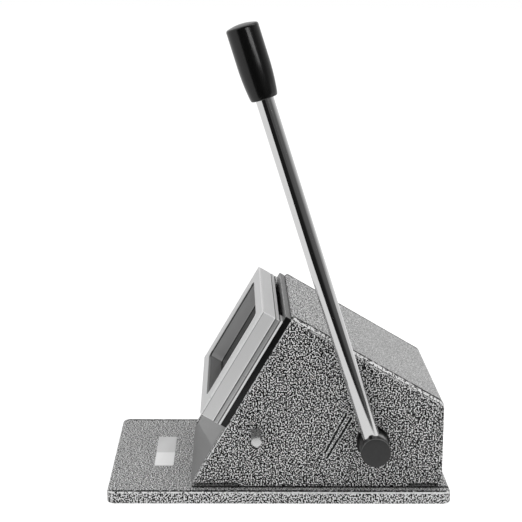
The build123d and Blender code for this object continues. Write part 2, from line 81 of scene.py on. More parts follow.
shaftPlace = middleOf("lever_hub")  # where the lever turns
joints = {joint["name"]: joint for joint in frame["joints"]}
outward = Vector(joints["ram_slide"]["axis"]).normalized()  # the way the ram slides
slopeUp = Vector((0, cos(radians(slopeAngle)), sin(radians(slopeAngle))))
rodAlong = Vector((0, -sin(leverLean), cos(leverLean)))
mergeReach = {"cad": 1e-6, "boolean": 2e-6, "softened": 3e-6}  # corners this near become one
nearly = 1e-5  # heights this close are the same


def merged(mesh, kind):
    # a mesh's loose faces, joined into one skin
    book = bmesh.new()
    book.from_mesh(mesh)
    bmesh.ops.remove_doubles(book, verts=book.verts, dist=mergeReach[kind])
    return book


def islands(node):
    # each separate solid of a CAD node, as the list of its corners
    book = merged(nodes[node].data, "cad")
    left = set(book.verts)
    found = []
    for start in list(book.verts):
        if start in left:
            left.remove(start)
            ready, island = [start], []
            while ready:
                vert = ready.pop()
                island.append(vert.co.copy())
                after = {edge.other_vert(vert) for edge in vert.link_edges} & left
                left -= after
                ready += after
            found.append(island)
    book.free()
    return found


class Value:
    # one number, colour or vector in a node tree, so that a sum of sockets reads as a sum
    def __init__(self, sheet, socket):
        self.sheet = sheet
        self.socket = socket

    def maths(self, operation, first, second=0.0):
        return self.sheet.value("ShaderNodeMath", {"operation": operation}, {0: first, 1: second})

    def __add__(self, other):
        return self.maths("ADD", self, other)

    def __sub__(self, other):
        return self.maths("SUBTRACT", self, other)

    def __rsub__(self, other):
        return self.maths("SUBTRACT", other, self)

    def __mul__(self, other):
        return self.maths("MULTIPLY", self, other)

    def __truediv__(self, other):
        return self.maths("DIVIDE", self, other)

    def __pow__(self, other):
        return self.maths("POWER", self, other)

    def most(self, other):
        return self.maths("MAXIMUM", self, other)

    def size(self):
        return self.maths("ABSOLUTE", self)

    __radd__ = __add__
    __rmul__ = __mul__


def tone(level):
    return (level, level, level, 1)


edgeMarkLook = {"scale": 700.0, "start": 0.42, "width": 0.18}  # how the marks on softened edges are broken up, for edge wear and for painted highlights


class Sheet:
    # draws one node tree: each node is placed by the same call
    def __init__(self, tree):
        self.tree = tree

    def node(self, kind, settings=None, inputs=None):
        made = self.tree.nodes.new(kind)
        for key, setting in (settings or {}).items():
            if key == "stops":
                elements = made.color_ramp.elements
                elements.remove(elements[1])
                elements[0].color = tone(setting[0][1])
                for position, level in setting[1:]:
                    elements.new(position).color = tone(level)
            else:
                setattr(made, key, setting)
        for key, feed in (inputs or {}).items():
            if isinstance(feed, Value):
                self.tree.links.new(feed.socket, made.inputs[key])
            else:
                made.inputs[key].default_value = feed
        return made

    def value(self, kind, settings=None, inputs=None, output=0):
        return Value(self, self.node(kind, settings, inputs).outputs[output])

    def point(self):
        return self.value("ShaderNodeTexCoord", output="Object")

    def parts(self, vector):
        split = self.node("ShaderNodeSeparateXYZ", None, {0: vector})
        return [Value(self, socket) for socket in split.outputs]

    def turned(self, point, rotation=(0, 0, 0), scale=(1, 1, 1), location=(0, 0, 0)):
        feeds = {"Vector": point, "Rotation": rotation, "Scale": scale, "Location": location}
        return self.value("ShaderNodeMapping", None, feeds)

    def noise(self, point, scale, detail=2.0, roughness=0.5, distortion=0.0):
        feeds = {"Vector": point, "Scale": scale, "Detail": detail, "Roughness": roughness}
        return self.value("ShaderNodeTexNoise", None, dict(feeds, Distortion=distortion))

    def remap(self, value, low, high, toLow=0.0, toHigh=1.0, kind="SMOOTHSTEP"):
        feeds = {"Value": value, "From Min": low, "From Max": high, "To Min": toLow, "To Max": toHigh}
        return self.value("ShaderNodeMapRange", {"interpolation_type": kind}, feeds)

    def band(self, value, rise, fall):
        return self.remap(value, *rise) * self.remap(value, *fall, 1.0, 0.0)

    def blend(self, factor, first, second, kind="MIX"):
        settings = {"data_type": "RGBA", "blend_type": kind, "clamp_factor": True}
        return self.value("ShaderNodeMix", settings, {0: factor, 6: first, 7: second}, 2)

    def grey(self, level):
        return self.value("ShaderNodeCombineColor", None, {0: level, 1: level, 2: level})

    def bump(self, height, strength, depth):
        feeds = {"Height": height, "Strength": strength, "Distance": depth}
        return self.value("ShaderNodeBump", None, feeds)

    def normal(self):
        return self.parts(self.value("ShaderNodeTexCoord", output="Normal"))

    def sideways(self):
        # how far a spot faces to either side
        return self.normal()[0].size()

    def edges(self, point, start=edgeMarkLook["start"]):
        # softened edges carry a mark on their faces, broken up here as real wear is
        mark = self.value("ShaderNodeAttribute", {"attribute_name": "edgeWear"}, output="Fac")
        broken = self.noise(point, edgeMarkLook["scale"], 3.0, 0.65)
        return mark * self.remap(broken, start, start + edgeMarkLook["width"])


def emptied(owner):
    # the cleared node tree of a material or a world
    owner.use_nodes = True
    owner.node_tree.nodes.clear()
    return Sheet(owner.node_tree)


def surface(colour, rough, relief, **others):
    # what varies over a surface, in the shader's own words
    return {"Base Color": colour, "Roughness": rough, "Normal": relief, **others}


def finish(name, fixed, draw):
    # fixed goes straight on the shader's sockets, and draw returns what varies over the surface
    material = bpy.data.materials.new(name)
    sheet = emptied(material)
    shader = sheet.value("ShaderNodeBsdfPrincipled", None, {**fixed, **draw(sheet)})
    sheet.node("ShaderNodeOutputMaterial", None, {"Surface": shader})
    return material


hammerLook = {
    "cellScale": 1222.2, "cellShift": (-0.00008, 0.0, 0.000364), "cellDetail": 0.6, "cellTwist": 0.3,
    "largeScale": 1111.1, "largeShift": (0.0004, 0.0, 0.0002), "cellSoftness": 0.01, "grainShare": 2.6,
    "cellMiddle": 0.517, "sideMiddle": 0.549, "lowMiddle": 0.508, "dark": tone(0.0008), "worn": tone(1.0),
    "silver": 0.9, "sideSilver": 1.0, "broadScale": 28.0, "broadShare": 0.12, "roughness": 0.34,
    "coat": 0.28, "coatRoughness": 0.16, "specular": 0.25, "bump": (0.5, 0.00008),
}


def hammerCells(sheet, point, upright, low):
    # how silver each spot is: worm-like cells, slightly larger on the base's own edges; fewer cells are
    # silver on faces turned sideways and more on the base's own edges, painted shade on the sides and
    # painted light on the base's edges
    look = hammerLook
    kind = (look["cellDetail"], 0.5, look["cellTwist"])
    fine = sheet.noise(sheet.turned(point, location=look["cellShift"]), look["cellScale"], *kind)
    large = sheet.noise(sheet.turned(point, location=look["largeShift"]), look["largeScale"], *kind)
    cells = fine + low * (large - fine)
    side = look["sideMiddle"] + low * (look["lowMiddle"] - look["sideMiddle"])
    middle = look["cellMiddle"] + upright * (side - look["cellMiddle"])
    return sheet.remap(cells, middle - look["cellSoftness"], middle + look["cellSoftness"])


jointLook = {  # where the side plates stand on the base
    "x": 0.059, "z": 0.007, "front": -0.0502, "reach": (0.0004, 0.0026), "rise": 4.5, "share": 0.94,
}


def jointShadow(sheet, x, y, z):
    # painted shadow in the corner between the side plates and the base
    look = jointLook
    out = x.size() - look["x"]
    high = (z - look["z"]) * look["rise"]
    away = (out * out + high * high) ** 0.5
    jointShade = sheet.remap(away, *look["reach"], 1.0, 0.0)
    return jointShade * sheet.remap(y, look["front"] - 0.001, look["front"])


twinLineLook = {  # each line is y and z at its start, then at its end
    "lines": ((0.0384, 0.0513, 0.0264, 0.0277), (0.0413, 0.0488, 0.0275, 0.0245)),
    "wide": 0.00038, "share": 0.97, "rimShare": 0.5,
}


def twinLines(sheet, colour, x, y, z):
    # two long dark lines with bright rims, in the plate on the lever's side
    wide = twinLineLook["wide"]
    onPlate = sheet.remap(x, jointLook["x"] - 0.0002, jointLook["x"] - 0.0001)
    twinLineMask = 0.0
    for startY, startZ, endY, endZ in twinLineLook["lines"]:
        long = ((endY - startY) ** 2 + (endZ - startZ) ** 2) ** 0.5
        alongY, alongZ = (endY - startY) / long, (endZ - startZ) / long
        along = (y - startY) * alongY + (z - startZ) * alongZ
        aside = ((y - startY) * alongZ - (z - startZ) * alongY).size()
        away = aside + (along.size() - long).most(0 - along).most(0.0)
        cut = sheet.remap(away, wide, wide * 1.8, 1.0, 0.0) * onPlate
        rim = sheet.band(away, (wide * 1.8, wide * 2.6), (wide * 2.8, wide * 3.8)) * onPlate
        colour = sheet.blend(rim * twinLineLook["rimShare"], colour, hammerLook["worn"])
        colour = sheet.blend(cut * twinLineLook["share"], colour, hammerLook["dark"])
        twinLineMask = cut.most(twinLineMask)
    return colour, twinLineMask


browLook = {  # feet are the heights that each line runs between, and its distance from the middle
    "feet": ((-1.0, 0.02, 0.0668), (0.02, 1.0, 0.0577)), "line": 0.0027, "lineShare": 0.92,
    "darkShare": 0.8, "chipScale": 680.0, "chips": (0.435, 0.465), "gapScale": 420.0,
    "gaps": (0.36, 0.46), "baseShare": 0.8,
}


def browEdges(sheet, colour, point, across, rising):
    # long edges: darkened, with a painted highlight broken into dashes along them, a painted highlight on
    # the base's edge towards the rear, and broken painted shade lines beside the cover's and the base's
    # edges
    look = browLook
    x, y, z = sheet.parts(point)
    brow = sheet.band(across, (0.25, 0.35), (0.93, 0.98)) * sheet.remap(rising, 0.04, 0.15)
    chips = sheet.remap(sheet.noise(point, look["chipScale"], 2.0, 0.6), *look["chips"])
    onBase = sheet.remap(z, jointLook["z"] + 0.0002, jointLook["z"] + 0.0004, 1.0, 0.0)
    onBase = onBase * sheet.remap(y, -0.06, 0.02)
    worn = brow * chips.most(onBase * look["baseShare"])
    broken = sheet.remap(sheet.noise(point, look["gapScale"], 2.0, 0.6), *look["gaps"])
    darkLines = 0.0
    for bottom, top, foot in look["feet"]:
        start = (foot - look["line"], foot - look["line"] * 0.75)
        beside = sheet.band(x.size(), start, (foot + 0.0003, foot + 0.0005))
        beside = beside * sheet.band(z, (bottom, bottom + 0.001), (top, top + 0.001))
        beside = beside * sheet.remap(rising, 0.3, 0.4) * broken
        colour = sheet.blend(beside * look["lineShare"], colour, hammerLook["dark"])
        darkLines = beside.most(darkLines)
    colour = sheet.blend(brow * look["darkShare"], colour, hammerLook["dark"])
    return sheet.blend(worn, colour, hammerLook["worn"]), darkLines, worn


calmLook = {"share": 0.5, "level": 0.6, "facing": (0.6, 0.8), "above": (0.02, 0.03), "back": (0.01, 0.06)}


def drawHammer(sheet):
    # silver and black hammer enamel, a little raised where it is silver, and calmer on the cover's rear
    look = hammerLook
    point = sheet.point()
    x, y, z = sheet.parts(point)
    across, _, rising = sheet.normal()
    across = across.size()
    upright = sheet.remap(across, 0.7, 0.97)
    low = sheet.remap(z, jointLook["z"] - 0.0004, jointLook["z"] - 0.0001, 1.0, 0.0)
    silver = hammerCells(sheet, point, upright, low)
    calm = sheet.remap(rising, *calmLook["facing"]) * sheet.remap(z, *calmLook["above"])
    calm = calm * sheet.remap(y, *calmLook["back"]) * calmLook["share"]
    silver = silver + calm * (calmLook["level"] - silver)
    # the silver on faces turned sideways is painted brighter than on the tops: a painted sheen
    bright = sheet.grey(look["silver"] + upright * (look["sideSilver"] - look["silver"]))
    broad = sheet.noise(point, look["broadScale"], 2.0) * (2 * look["broadShare"])
    colour = sheet.blend(silver, look["dark"], bright)
    colour = sheet.blend(1.0, colour, sheet.grey(1 - look["broadShare"] + broad), "MULTIPLY")
    # painted shadow along the foot of the side plates
    jointShade = jointShadow(sheet, x, y, z)
    colour = sheet.blend(jointShade * jointLook["share"], colour, look["dark"])
    colour, twinLineMask = twinLines(sheet, colour, x, y, z)
    colour, darkLines, worn = browEdges(sheet, colour, point, across, rising)
    # the painted shade lines, the painted joint shadow and the two dark lines are rougher and less glossy
    darkLines = darkLines.most(jointShade).most(twinLineMask)
    grain = sheet.noise(point, look["cellScale"] * look["grainShare"], 1.0)
    rough = look["roughness"] + grain * 0.16 - silver * 0.06 + darkLines * 0.4 - worn * 0.16
    relief = sheet.bump(silver + grain * 0.15, *look["bump"])
    return surface(colour, rough, relief, **{"Coat Weight": look["coat"] * (1 - darkLines)})


plainLook = {
    "level": 0.23, "worn": tone(0.4), "peelScale": 420.0, "stainScale": 35.0, "roughness": 0.42,
    "coat": 0.25, "bump": (0.12, 0.0001),
}


def drawPlainPaint(sheet):
    # plain grey sprayed sheet, with faint orange peel and dusting
    look = plainLook
    point = sheet.point()
    peel = sheet.noise(point, look["peelScale"], 2.0, 0.5)
    stain = sheet.noise(point, look["stainScale"], 3.0, 0.6)
    level = look["level"] * (0.93 + stain * 0.1 + peel * 0.04)
    colour = sheet.blend(sheet.edges(point) * 0.5, sheet.grey(level), look["worn"])
    relief = sheet.bump(peel, *look["bump"])
    return surface(colour, look["roughness"] + stain * 0.14, relief)


windowLook = {
    "halfWide": 0.0439, "halfHigh": 0.0284, "lip": 0.0011, "lipShade": 0.03, "wallShade": 0.65,
    "sill": (0.0268, 0.027), "sillShade": 0.3, "dieShade": 0.5, "endShade": 0.84, "edgeLine": 0.0011,
    "edgeShade": 0.5,
}
windowMiddle = middleOf("window_frame").dot(slopeUp)  # how far up the slope it is


def insideWindow(sheet, across, along):
    look = windowLook
    inside = sheet.remap(across.size(), look["halfWide"], look["halfWide"] + 0.0001, 1.0, 0.0)
    away = (along - windowMiddle).size()
    return inside * sheet.remap(away, look["halfHigh"], look["halfHigh"] + 0.0001, 1.0, 0.0)


def dieShade(sheet, sloped):
    # the walls of the cutting hole get painted shade
    across, along, _ = sheet.parts(sloped)
    return 1 - insideWindow(sheet, across, along) * (1 - windowLook["dieShade"])


def windowShade(sheet, sloped):
    # painted shade: the bevel round the window near black, its walls darker and its sill darker still,
    # the frame's top end a little darker, and a dark line along each side face just behind the front
    look = windowLook
    across, along, out = sheet.parts(sloped)
    corners = islands("window_frame")[0]
    side = max(corner.x for corner in corners)
    top = max(corner.dot(slopeUp) for corner in corners)
    deep = max(corner.dot(outward) for corner in corners) - out
    inside = insideWindow(sheet, across, along) * sheet.remap(deep, 0.00002, 0.00006)
    sill = sheet.remap(windowMiddle - along, *look["sill"])
    wall = look["wallShade"] + sill * (look["sillShade"] - look["wallShade"])
    lip = sheet.remap(deep, look["lip"] - 0.0001, look["lip"] + 0.0001, 1.0, 0.0)
    shade = wall + lip * (look["lipShade"] - wall)
    end = sheet.remap(along, top - 0.0003, top - 0.0002)
    line = sheet.remap((deep - look["edgeLine"]).size(), 0.0001, 0.00035, 1.0, 0.0)
    line = line * sheet.remap(across.size(), side - 0.0002, side - 0.0001)
    face = (1 - end * (1 - look["endShade"])) * (1 - line * look["edgeShade"])
    return (1 - inside) * face + inside * shade


seamLook = {
    "line": (0.0002, 0.00045), "lineShare": 0.85, "rimStart": (0.0004, 0.0006),
    "rimEnd": (0.0009, 0.0012), "rimShare": 0.2,
}


def seamShade(sheet, sloped):
    # oil in the joints between the plates of the stack, and a painted highlight on the rim in front of
    # each
    look = seamLook
    out = sheet.parts(sloped)[2]
    shade = 1.0
    for node in ("die_plate", "window_frame"):
        gap = out - min(corner.dot(outward) for corner in islands(node)[0])
        line = sheet.remap(gap.size(), *look["line"], 1.0, 0.0)
        rim = sheet.band(gap, look["rimStart"], look["rimEnd"])
        shade = (1 - line * look["lineShare"] + rim * look["rimShare"]) * shade
    return shade


brushedLook = {
    "cloudScale": 60.0, "markScale": 210.0, "marks": (0.62, 0.72), "wearStart": 0.26, "worn": 0.97,
    "bump": (0.2, 0.00002),
}


def brushed(level, spread, roughness, grain, metallic=1.0, dulled=()):
    # metal with lines along the front's slope: grain is lines per metre along and across it
    look = brushedLook
    along, across = grain

    def draw(sheet):
        point = sheet.point()
        sloped = sheet.turned(point, (radians(-slopeAngle), 0, 0))
        drawnOut = sheet.turned(sloped, scale=(across, along, across))
        streaks = sheet.noise(drawnOut, 1.0, 3.0, 0.6)
        cloud = sheet.noise(point, look["cloudScale"], 3.0, 0.55)
        marks = sheet.remap(sheet.noise(point, look["markScale"], 4.0, 0.7), *look["marks"])
        # softened edges, broken up, are painted brighter and less metallic: partly edge wear, partly a
        # painted highlight
        worn = sheet.edges(point, look["wearStart"])
        shade = level - spread / 2 + streaks * spread + cloud * (spread * 0.5) - marks * (spread * 0.25)
        shade = shade + worn * (look["worn"] - level)
        for dull in dulled:
            shade = shade * dull(sheet, sloped)
        rough = roughness - 0.07 + streaks * 0.14 + marks * 0.06 - worn * 0.14
        relief = sheet.bump(streaks, *look["bump"])
        return surface(sheet.grey(shade), rough, relief, Metallic=metallic * (1 - worn))
    return draw


turnedLook = {"pitch": 2600.0, "cloudScale": 140.0, "end": (0.6, 0.9), "bump": (0.15, 0.00002)}


def turnedMetal(level, spread, roughness, barrel=1.0):
    # faint rings round the shaft's axis, as a lathe leaves them; barrel darkens all but the ends, a
    # painted shade on a pin's sides
    look = turnedLook

    def draw(sheet):
        point = sheet.point()
        x, y, z = sheet.parts(point)
        y = y - shaftPlace.y
        z = z - shaftPlace.z
        across = (y * y + z * z) ** 0.5
        rings = {0: across * look["pitch"], 1: x * look["pitch"]}
        lines = sheet.noise(sheet.value("ShaderNodeCombineXYZ", None, rings), 1.0, 2.0)
        cloud = sheet.noise(point, look["cloudScale"], 3.0, 0.6)
        shade = level - spread / 2 + lines * spread + cloud * (spread * 0.7)
        shade = shade * (barrel + sheet.remap(sheet.sideways(), *look["end"]) * (1 - barrel))
        rough = roughness + (lines - 0.5) * 0.12 + cloud * 0.08
        relief = sheet.bump(lines, *look["bump"])
        return surface(sheet.grey(shade), rough, relief)
    return draw


workedLook = {
    "cloudScale": 260.0, "scratchTurn": (0.3, 0.5, 0.9), "scratchScale": (90, 2600, 90),
    "rubbed": tone(0.8), "rim": (0.1, 0.35), "bump": (0.12, 0.00005),
}


def plainMetal(colour, spread, roughness, edged=0.0):
    # worked steel or bronze, stained and finely scratched; edged is how bright its rim is rubbed
    look = workedLook

    def draw(sheet):
        point = sheet.point()
        cloud = sheet.noise(point, look["cloudScale"], 4.0, 0.65)
        scratch = sheet.noise(sheet.turned(point, look["scratchTurn"], look["scratchScale"]), 1.0, 2.0)
        shade = 1 - spread / 2 + cloud * spread + (scratch - 0.5) * (spread * 0.4)
        tint = sheet.blend(1.0, colour, sheet.grey(shade), "MULTIPLY")
        if edged:
            rubbed = sheet.edges(point) * sheet.remap(sheet.sideways(), *look["rim"], edged, 0.0)
            tint = sheet.blend(rubbed, tint, look["rubbed"])
        rough = roughness + (cloud - 0.5) * 0.2 + (scratch - 0.5) * 0.08
        relief = sheet.bump(cloud + scratch * 0.3, *look["bump"])
        return surface(tint, rough, relief)
    return draw


chromeLook = {
    "level": 0.82, "roughness": 0.055, "hazeScale": 90.0, "pitScale": 900.0, "pits": (0.76, 0.8),
    "bump": (0.03, 0.00001),
}


def drawChrome(sheet):
    # bright plating with a soft haze, lengthwise polishing lines and a few pinholes
    look = chromeLook
    point = sheet.point()
    leaned = sheet.turned(point, (-leverLean, 0, 0))
    haze = sheet.noise(point, look["hazeScale"], 3.0, 0.6)
    lines = sheet.noise(sheet.turned(leaned, scale=(2600, 2600, 22)), 1.0, 2.0)
    pits = sheet.remap(sheet.noise(point, look["pitScale"], 1.0), *look["pits"])
    shade = look["level"] - haze * 0.05 + (lines - 0.5) * 0.03 - pits * 0.3
    rough = look["roughness"] + haze * 0.03 + (lines - 0.5) * 0.03 + pits * 0.3
    relief = sheet.bump(lines - pits * 2, *look["bump"])
    return surface(sheet.grey(shade), rough, relief)


gripLook = {
    "level": 0.004, "dust": 0.02, "roughness": 0.2, "coat": 0.3, "coatRoughness": 0.12, "specular": 0.35,
    "bump": (0.1, 0.0004),
}


def drawGrip(sheet):
    # moulded black plastic with slight waves, handling scuffs and dust
    look = gripLook
    point = sheet.point()
    waves = sheet.noise(point, 55.0, 2.0, 0.5)
    scuffs = sheet.noise(sheet.turned(point, (-leverLean, 0, 0), (60, 60, 900)), 1.0, 3.0, 0.6)
    dust = sheet.remap(sheet.noise(point, 1500.0, 2.0, 0.6), 0.68, 0.8)
    level = look["level"] + dust * look["dust"] + waves * 0.003
    rough = look["roughness"] + scuffs * 0.08 + dust * 0.25
    return surface(sheet.grey(level), rough, sheet.bump(waves, *look["bump"]))


labelLook = {
    "level": 1.0, "farLevel": 0.74, "step": (-0.0006, 0.0006), "roughness": 0.3, "bump": (0.1, 0.00002),
    "lowX": -0.0303, "highX": 0.024, "lowY": -0.0739, "highY": -0.0624, "top": 0.007,
    "thickness": 0.0003, "corner": 0.0012, "edgeShare": 0.4,
}


def drawLabel(sheet):
    # blank foil: the half nearer the lever's side is brighter
    look = labelLook
    point = sheet.point()
    near = sheet.remap(sheet.parts(point)[0], *look["step"])
    grain = sheet.noise(sheet.turned(point, scale=(60, 2600, 60)), 1.0, 2.0)
    level = look["farLevel"] + near * (look["level"] - look["farLevel"]) + (grain - 0.5) * 0.05
    rough = look["roughness"] + grain * 0.1
    return surface(sheet.grey(level), rough, sheet.bump(grain, *look["bump"]))


hubLook = {
    "end": 0.0212, "barrel": 0.0035, "rubbed": 0.42, "rim": 0.15, "roughness": 0.34, "coat": 0.3,
    "coatRoughness": 0.1, "bump": (0.1, 0.00005), "rubPlace": (0.0715, 0.0042, 0.0074),
    "rubReach": (0.0012, 0.0042), "rimHigh": 0.004,
}


def drawHub(sheet):
    # black barrel and dark grey end, the barrel's darkness painted shade, with a painted highlight on the
    # barrel beside the rod and round the upper rim
    look = hubLook
    point = sheet.point()
    facing = sheet.sideways()
    end = sheet.remap(facing, 0.75, 0.97)
    spot = Vector((0.0, shaftPlace.y, shaftPlace.z)) + Vector(look["rubPlace"])
    away = sheet.value("ShaderNodeVectorMath", {"operation": "DISTANCE"}, {0: point, 1: spot}, "Value")
    cloud = sheet.noise(point, 420.0, 4.0, 0.65)
    rubbed = sheet.remap(away + (cloud - 0.5) * 0.004, *look["rubReach"], 1.0, 0.0) * (1 - end)
    rim = sheet.remap(facing, 0.35, 0.55) * (1 - end)
    rim = rim * sheet.remap(sheet.parts(point)[2], shaftPlace.z, shaftPlace.z + look["rimHigh"])
    level = look["barrel"] + end * (look["end"] - look["barrel"])
    level = (level + rubbed * look["rubbed"] + rim * look["rim"]) * (0.55 + cloud * 0.9)
    rough = look["roughness"] + (cloud - 0.5) * 0.2
    return surface(sheet.grey(level), rough, sheet.bump(cloud, *look["bump"]))


def coated(look):
    # the fixed sockets of a clear coat, by a look's own numbers
    sockets = {"coat": "Coat Weight", "coatRoughness": "Coat Roughness", "specular": "Specular IOR Level"}
    return {sockets[key]: level for key, level in look.items() if key in sockets}


metal = {"Metallic": 1.0}
finishes = {
    "hammer_paint": finish("hammerPaint", coated(hammerLook), drawHammer),
    "plain_grey_paint": finish("plainGreyPaint", coated(plainLook), drawPlainPaint),
    "satin_plate": finish("satinPlate", {}, brushed(
        level=0.79, spread=0.06, roughness=0.32, grain=(30.0, 2400.0), metallic=0.14,
        dulled=(windowShade, seamShade))),
    "ground_steel": finish("groundSteel", {}, brushed(
        level=0.5, spread=0.1, roughness=0.3, grain=(2400.0, 40.0), metallic=0.45,
        dulled=(dieShade, seamShade))),
    "bright_strip": finish("brightStrip", {}, brushed(
        level=0.96, spread=0.04, roughness=0.3, grain=(30.0, 1800.0), metallic=0.0,
        dulled=(seamShade,))),
    "black_oxide": finish(
        "blackOxide", coated({"coat": 0.3, "coatRoughness": 0.15, "specular": 0.25}),
        plainMetal(tone(0.005), spread=0.5, roughness=0.3, edged=0.6)),
    "bronze": finish(
        "bearingBronze", metal, plainMetal((0.55, 0.36, 0.17, 1), spread=0.3, roughness=0.36)),
    "pin_steel": finish(
        "pinSteel", metal, turnedMetal(level=0.72, spread=0.08, roughness=0.2, barrel=0.65)),
    "turned_steel": finish("turnedSteel", metal, turnedMetal(level=0.5, spread=0.12, roughness=0.34)),
    "cam_steel": finish("camSteel", metal, plainMetal(tone(0.34), spread=0.3, roughness=0.34)),
    "punch_steel": finish("punchSteel", {}, brushed(
        level=0.45, spread=0.1, roughness=0.28, grain=(2400.0, 40.0))),
    "spring_steel": finish("springSteel", metal, plainMetal(tone(0.3), spread=0.3, roughness=0.36)),
    "screw_steel": finish(
        "screwSteel", {"Metallic": 0.9}, plainMetal(tone(0.16), spread=0.35, roughness=0.4)),
    "hub_paint": finish("hubPaint", coated(hubLook), drawHub),
    "chrome": finish("chromePlate", metal, drawChrome),
    "grip_plastic": finish("gripPlastic", coated(gripLook), drawGrip),
}
labelFoil = finish("blankFoil", {"Metallic": 0.75}, drawLabel)

slotWords = {  # the slot of every CAD node that has one of these in its name
    "hammer_paint": ("base_plate", "side_plate", "top_cover"), "plain_grey_paint": ("front_panel",),
    "satin_plate": ("window_frame",), "ground_steel": ("die_plate",), "bright_strip": ("slot_spacer",),
    "black_oxide": ("guide_plate", "shaft_bush", "retaining_ring"), "bronze": ("ram_bush",),
    "pin_steel": ("stop_pin", "guide_pillar"), "cam_steel": ("cam_right", "cam_left"),
    "turned_steel": ("tie_bar", "cam_shaft", "ram_plate", "thrust_block"),
    "punch_steel": ("punch", "wear_pad"), "spring_steel": ("return_spring",),
    "screw_steel": ("screw", "cam_pins"), "hub_paint": ("lever_hub",), "chrome": ("lever_rod",),
    "grip_plastic": ("lever_grip",),
}
slots = {}
for node, shown in nodes.items():
    for slot, words in slotWords.items():
        if any(word in node for word in words):
            slots[node] = slot
    shown.data.materials.clear()
    shown.data.materials.append(finishes[slots[node]])
print("finishes drawn:", len(finishes))


def linked(name, contents):
    item = bpy.data.objects.new(name, contents)
    scene.collection.objects.link(item)
    return item


def newPiece(name, mesh, slot, body, *replaced, material=None):
    # a finished piece: it rides on a body and may stand for CAD nodes
    piece = linked(name, mesh)
    mesh.materials.clear()
    mesh.materials.append(material or finishes[slot])
    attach(piece, body)
    if replaced:
        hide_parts(*replaced)
    return piece


def camel(node):
    # side_plate_left becomes sidePlateLeft
    first, *others = node.split("_")
    return first + "".join(word.title() for word in others)


def standIn(node, mesh):
    # a piece for one CAD node, named after it, with its body and slot
    newPiece(camel(node), mesh, slots[node], nodes[node]["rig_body"], node)


def plainMesh(holder, name):
    # the mesh that an object's modifiers make, and the object goes
    depsgraph = bpy.context.evaluated_depsgraph_get()
    mesh = bpy.data.meshes.new_from_object(holder.evaluated_get(depsgraph))
    bpy.data.objects.remove(holder)
    mesh.name = name
    return mesh


def bookMesh(book, name):
    mesh = bpy.data.meshes.new(name)
    book.to_mesh(mesh)
    book.free()
    return mesh


dressing = {  # flat, round and sharp are the angles in degrees by which edges are told apart
    "flat": 0.6, "round": 32.0, "sharp": 40.0, "shortest": 0.003, "rise": 0.1,
}


def smoothed(mesh, angle=dressing["round"]):
    mesh.polygons.foreach_set("use_smooth", [True] * len(mesh.polygons))
    mesh.set_sharp_from_angle(angle=radians(angle))
    mesh.update()
    return mesh


def arcPoints(middle, radius, first, last, count):
    # points on an arc in an outline, angles in degrees from the radius towards the height
    turns = [radians(first + (last - first) * place / count) for place in range(count + 1)]
    return [(middle[0] + radius * cos(turn), middle[1] + radius * sin(turn)) for turn in turns]


def turnedPiece(node, outline, place, along, steps):
    # outline is (radius, height) from the foot to the top, turned round an axis and closed at its poles
    along = Vector(along).normalized()
    side = along.orthogonal().normalized()
    other = along.cross(side)
    turns = [2 * pi * step / steps for step in range(steps)]
    spokes = [side * cos(turn) + other * sin(turn) for turn in turns]
    book = bmesh.new()
    rings = []
    for radius, height in outline:
        middle = Vector(place) + along * height
        used = spokes if radius else spokes[:1]
        rings.append([book.verts.new(middle + spoke * radius) for spoke in used])
    for lower, upper in zip(rings, rings[1:]):
        for step in range(steps):
            after = (step + 1) % steps
            corners = [lower[step % len(lower)], lower[after % len(lower)]]
            corners += [upper[after % len(upper)], upper[step % len(upper)]]
            corners = [corner for order, corner in enumerate(corners) if corner not in corners[:order]]
            if len(corners) > 2:
                book.faces.new(corners)
    bmesh.ops.recalc_face_normals(book, faces=book.faces)
    standIn(node, smoothed(bookMesh(book, camel(node))))


def dressed(node, soften=0.0, chosen="long"):
    # a CAD node again with smooth round faces, and its long, outer or upper outer sharp edges softened
    book = merged(nodes[node].data, "cad")
    flat = radians(dressing["flat"])
    bmesh.ops.dissolve_limit(book, angle_limit=flat, verts=book.verts, edges=book.edges)
    worn = book.faces.layers.float.new("edgeWear")
    if soften:
        sharp = [edge for edge in book.edges if len(edge.link_faces) == 2 and edge.is_convex]
        sharp = [edge for edge in sharp if edge.calc_face_angle(0) > radians(dressing["sharp"])]
        if chosen == "long":
            sharp = [edge for edge in sharp if edge.calc_length() > dressing["shortest"]]
        else:
            side = max(abs(vert.co.x) for vert in book.verts) - nearly
            sharp = [edge for edge in sharp if min(abs(vert.co.x) for vert in edge.verts) > side]
        if chosen == "brow":
            rises = [sum(face.normal.z for face in edge.link_faces) for edge in sharp]
            sharp = [edge for edge, rise in zip(sharp, rises) if rise > dressing["rise"]]
        rounded = bmesh.ops.bevel(
            book, geom=sharp, offset=soften, offset_type="OFFSET", segments=2, profile=0.5,
            affect="EDGES", clamp_overlap=chosen == "long")
        for face in rounded["faces"]:
            face[worn] = 1.0
        bmesh.ops.remove_doubles(book, verts=book.verts, dist=mergeReach["softened"])
    name = camel(node)
    holder = linked(name + "Seed", smoothed(bookMesh(book, name)))
    holder.modifiers.new("evenNormals", "WEIGHTED_NORMAL").keep_sharp = True
    standIn(node, plainMesh(holder, name))


def welded(mesh):
    # corners that a boolean left on top of each other, joined so that the skin is closed
    book = merged(mesh, "boolean")
    book.to_mesh(mesh)
    book.free()
    return smoothed(mesh, dressing["sharp"])


def endOf(island, aim):
    # middle of the end that faces along aim, and the length of the solid that way
    reaches = [corner.dot(aim) for corner in island]
    top = max(reaches)
    end = [corner for corner, reach in zip(island, reaches) if reach > top - nearly]
    low = Vector([min(corner[axis] for corner in end) for axis in range(3)])
    high = Vector([max(corner[axis] for corner in end) for axis in range(3)])
    return (low + high) / 2, top - min(reaches)


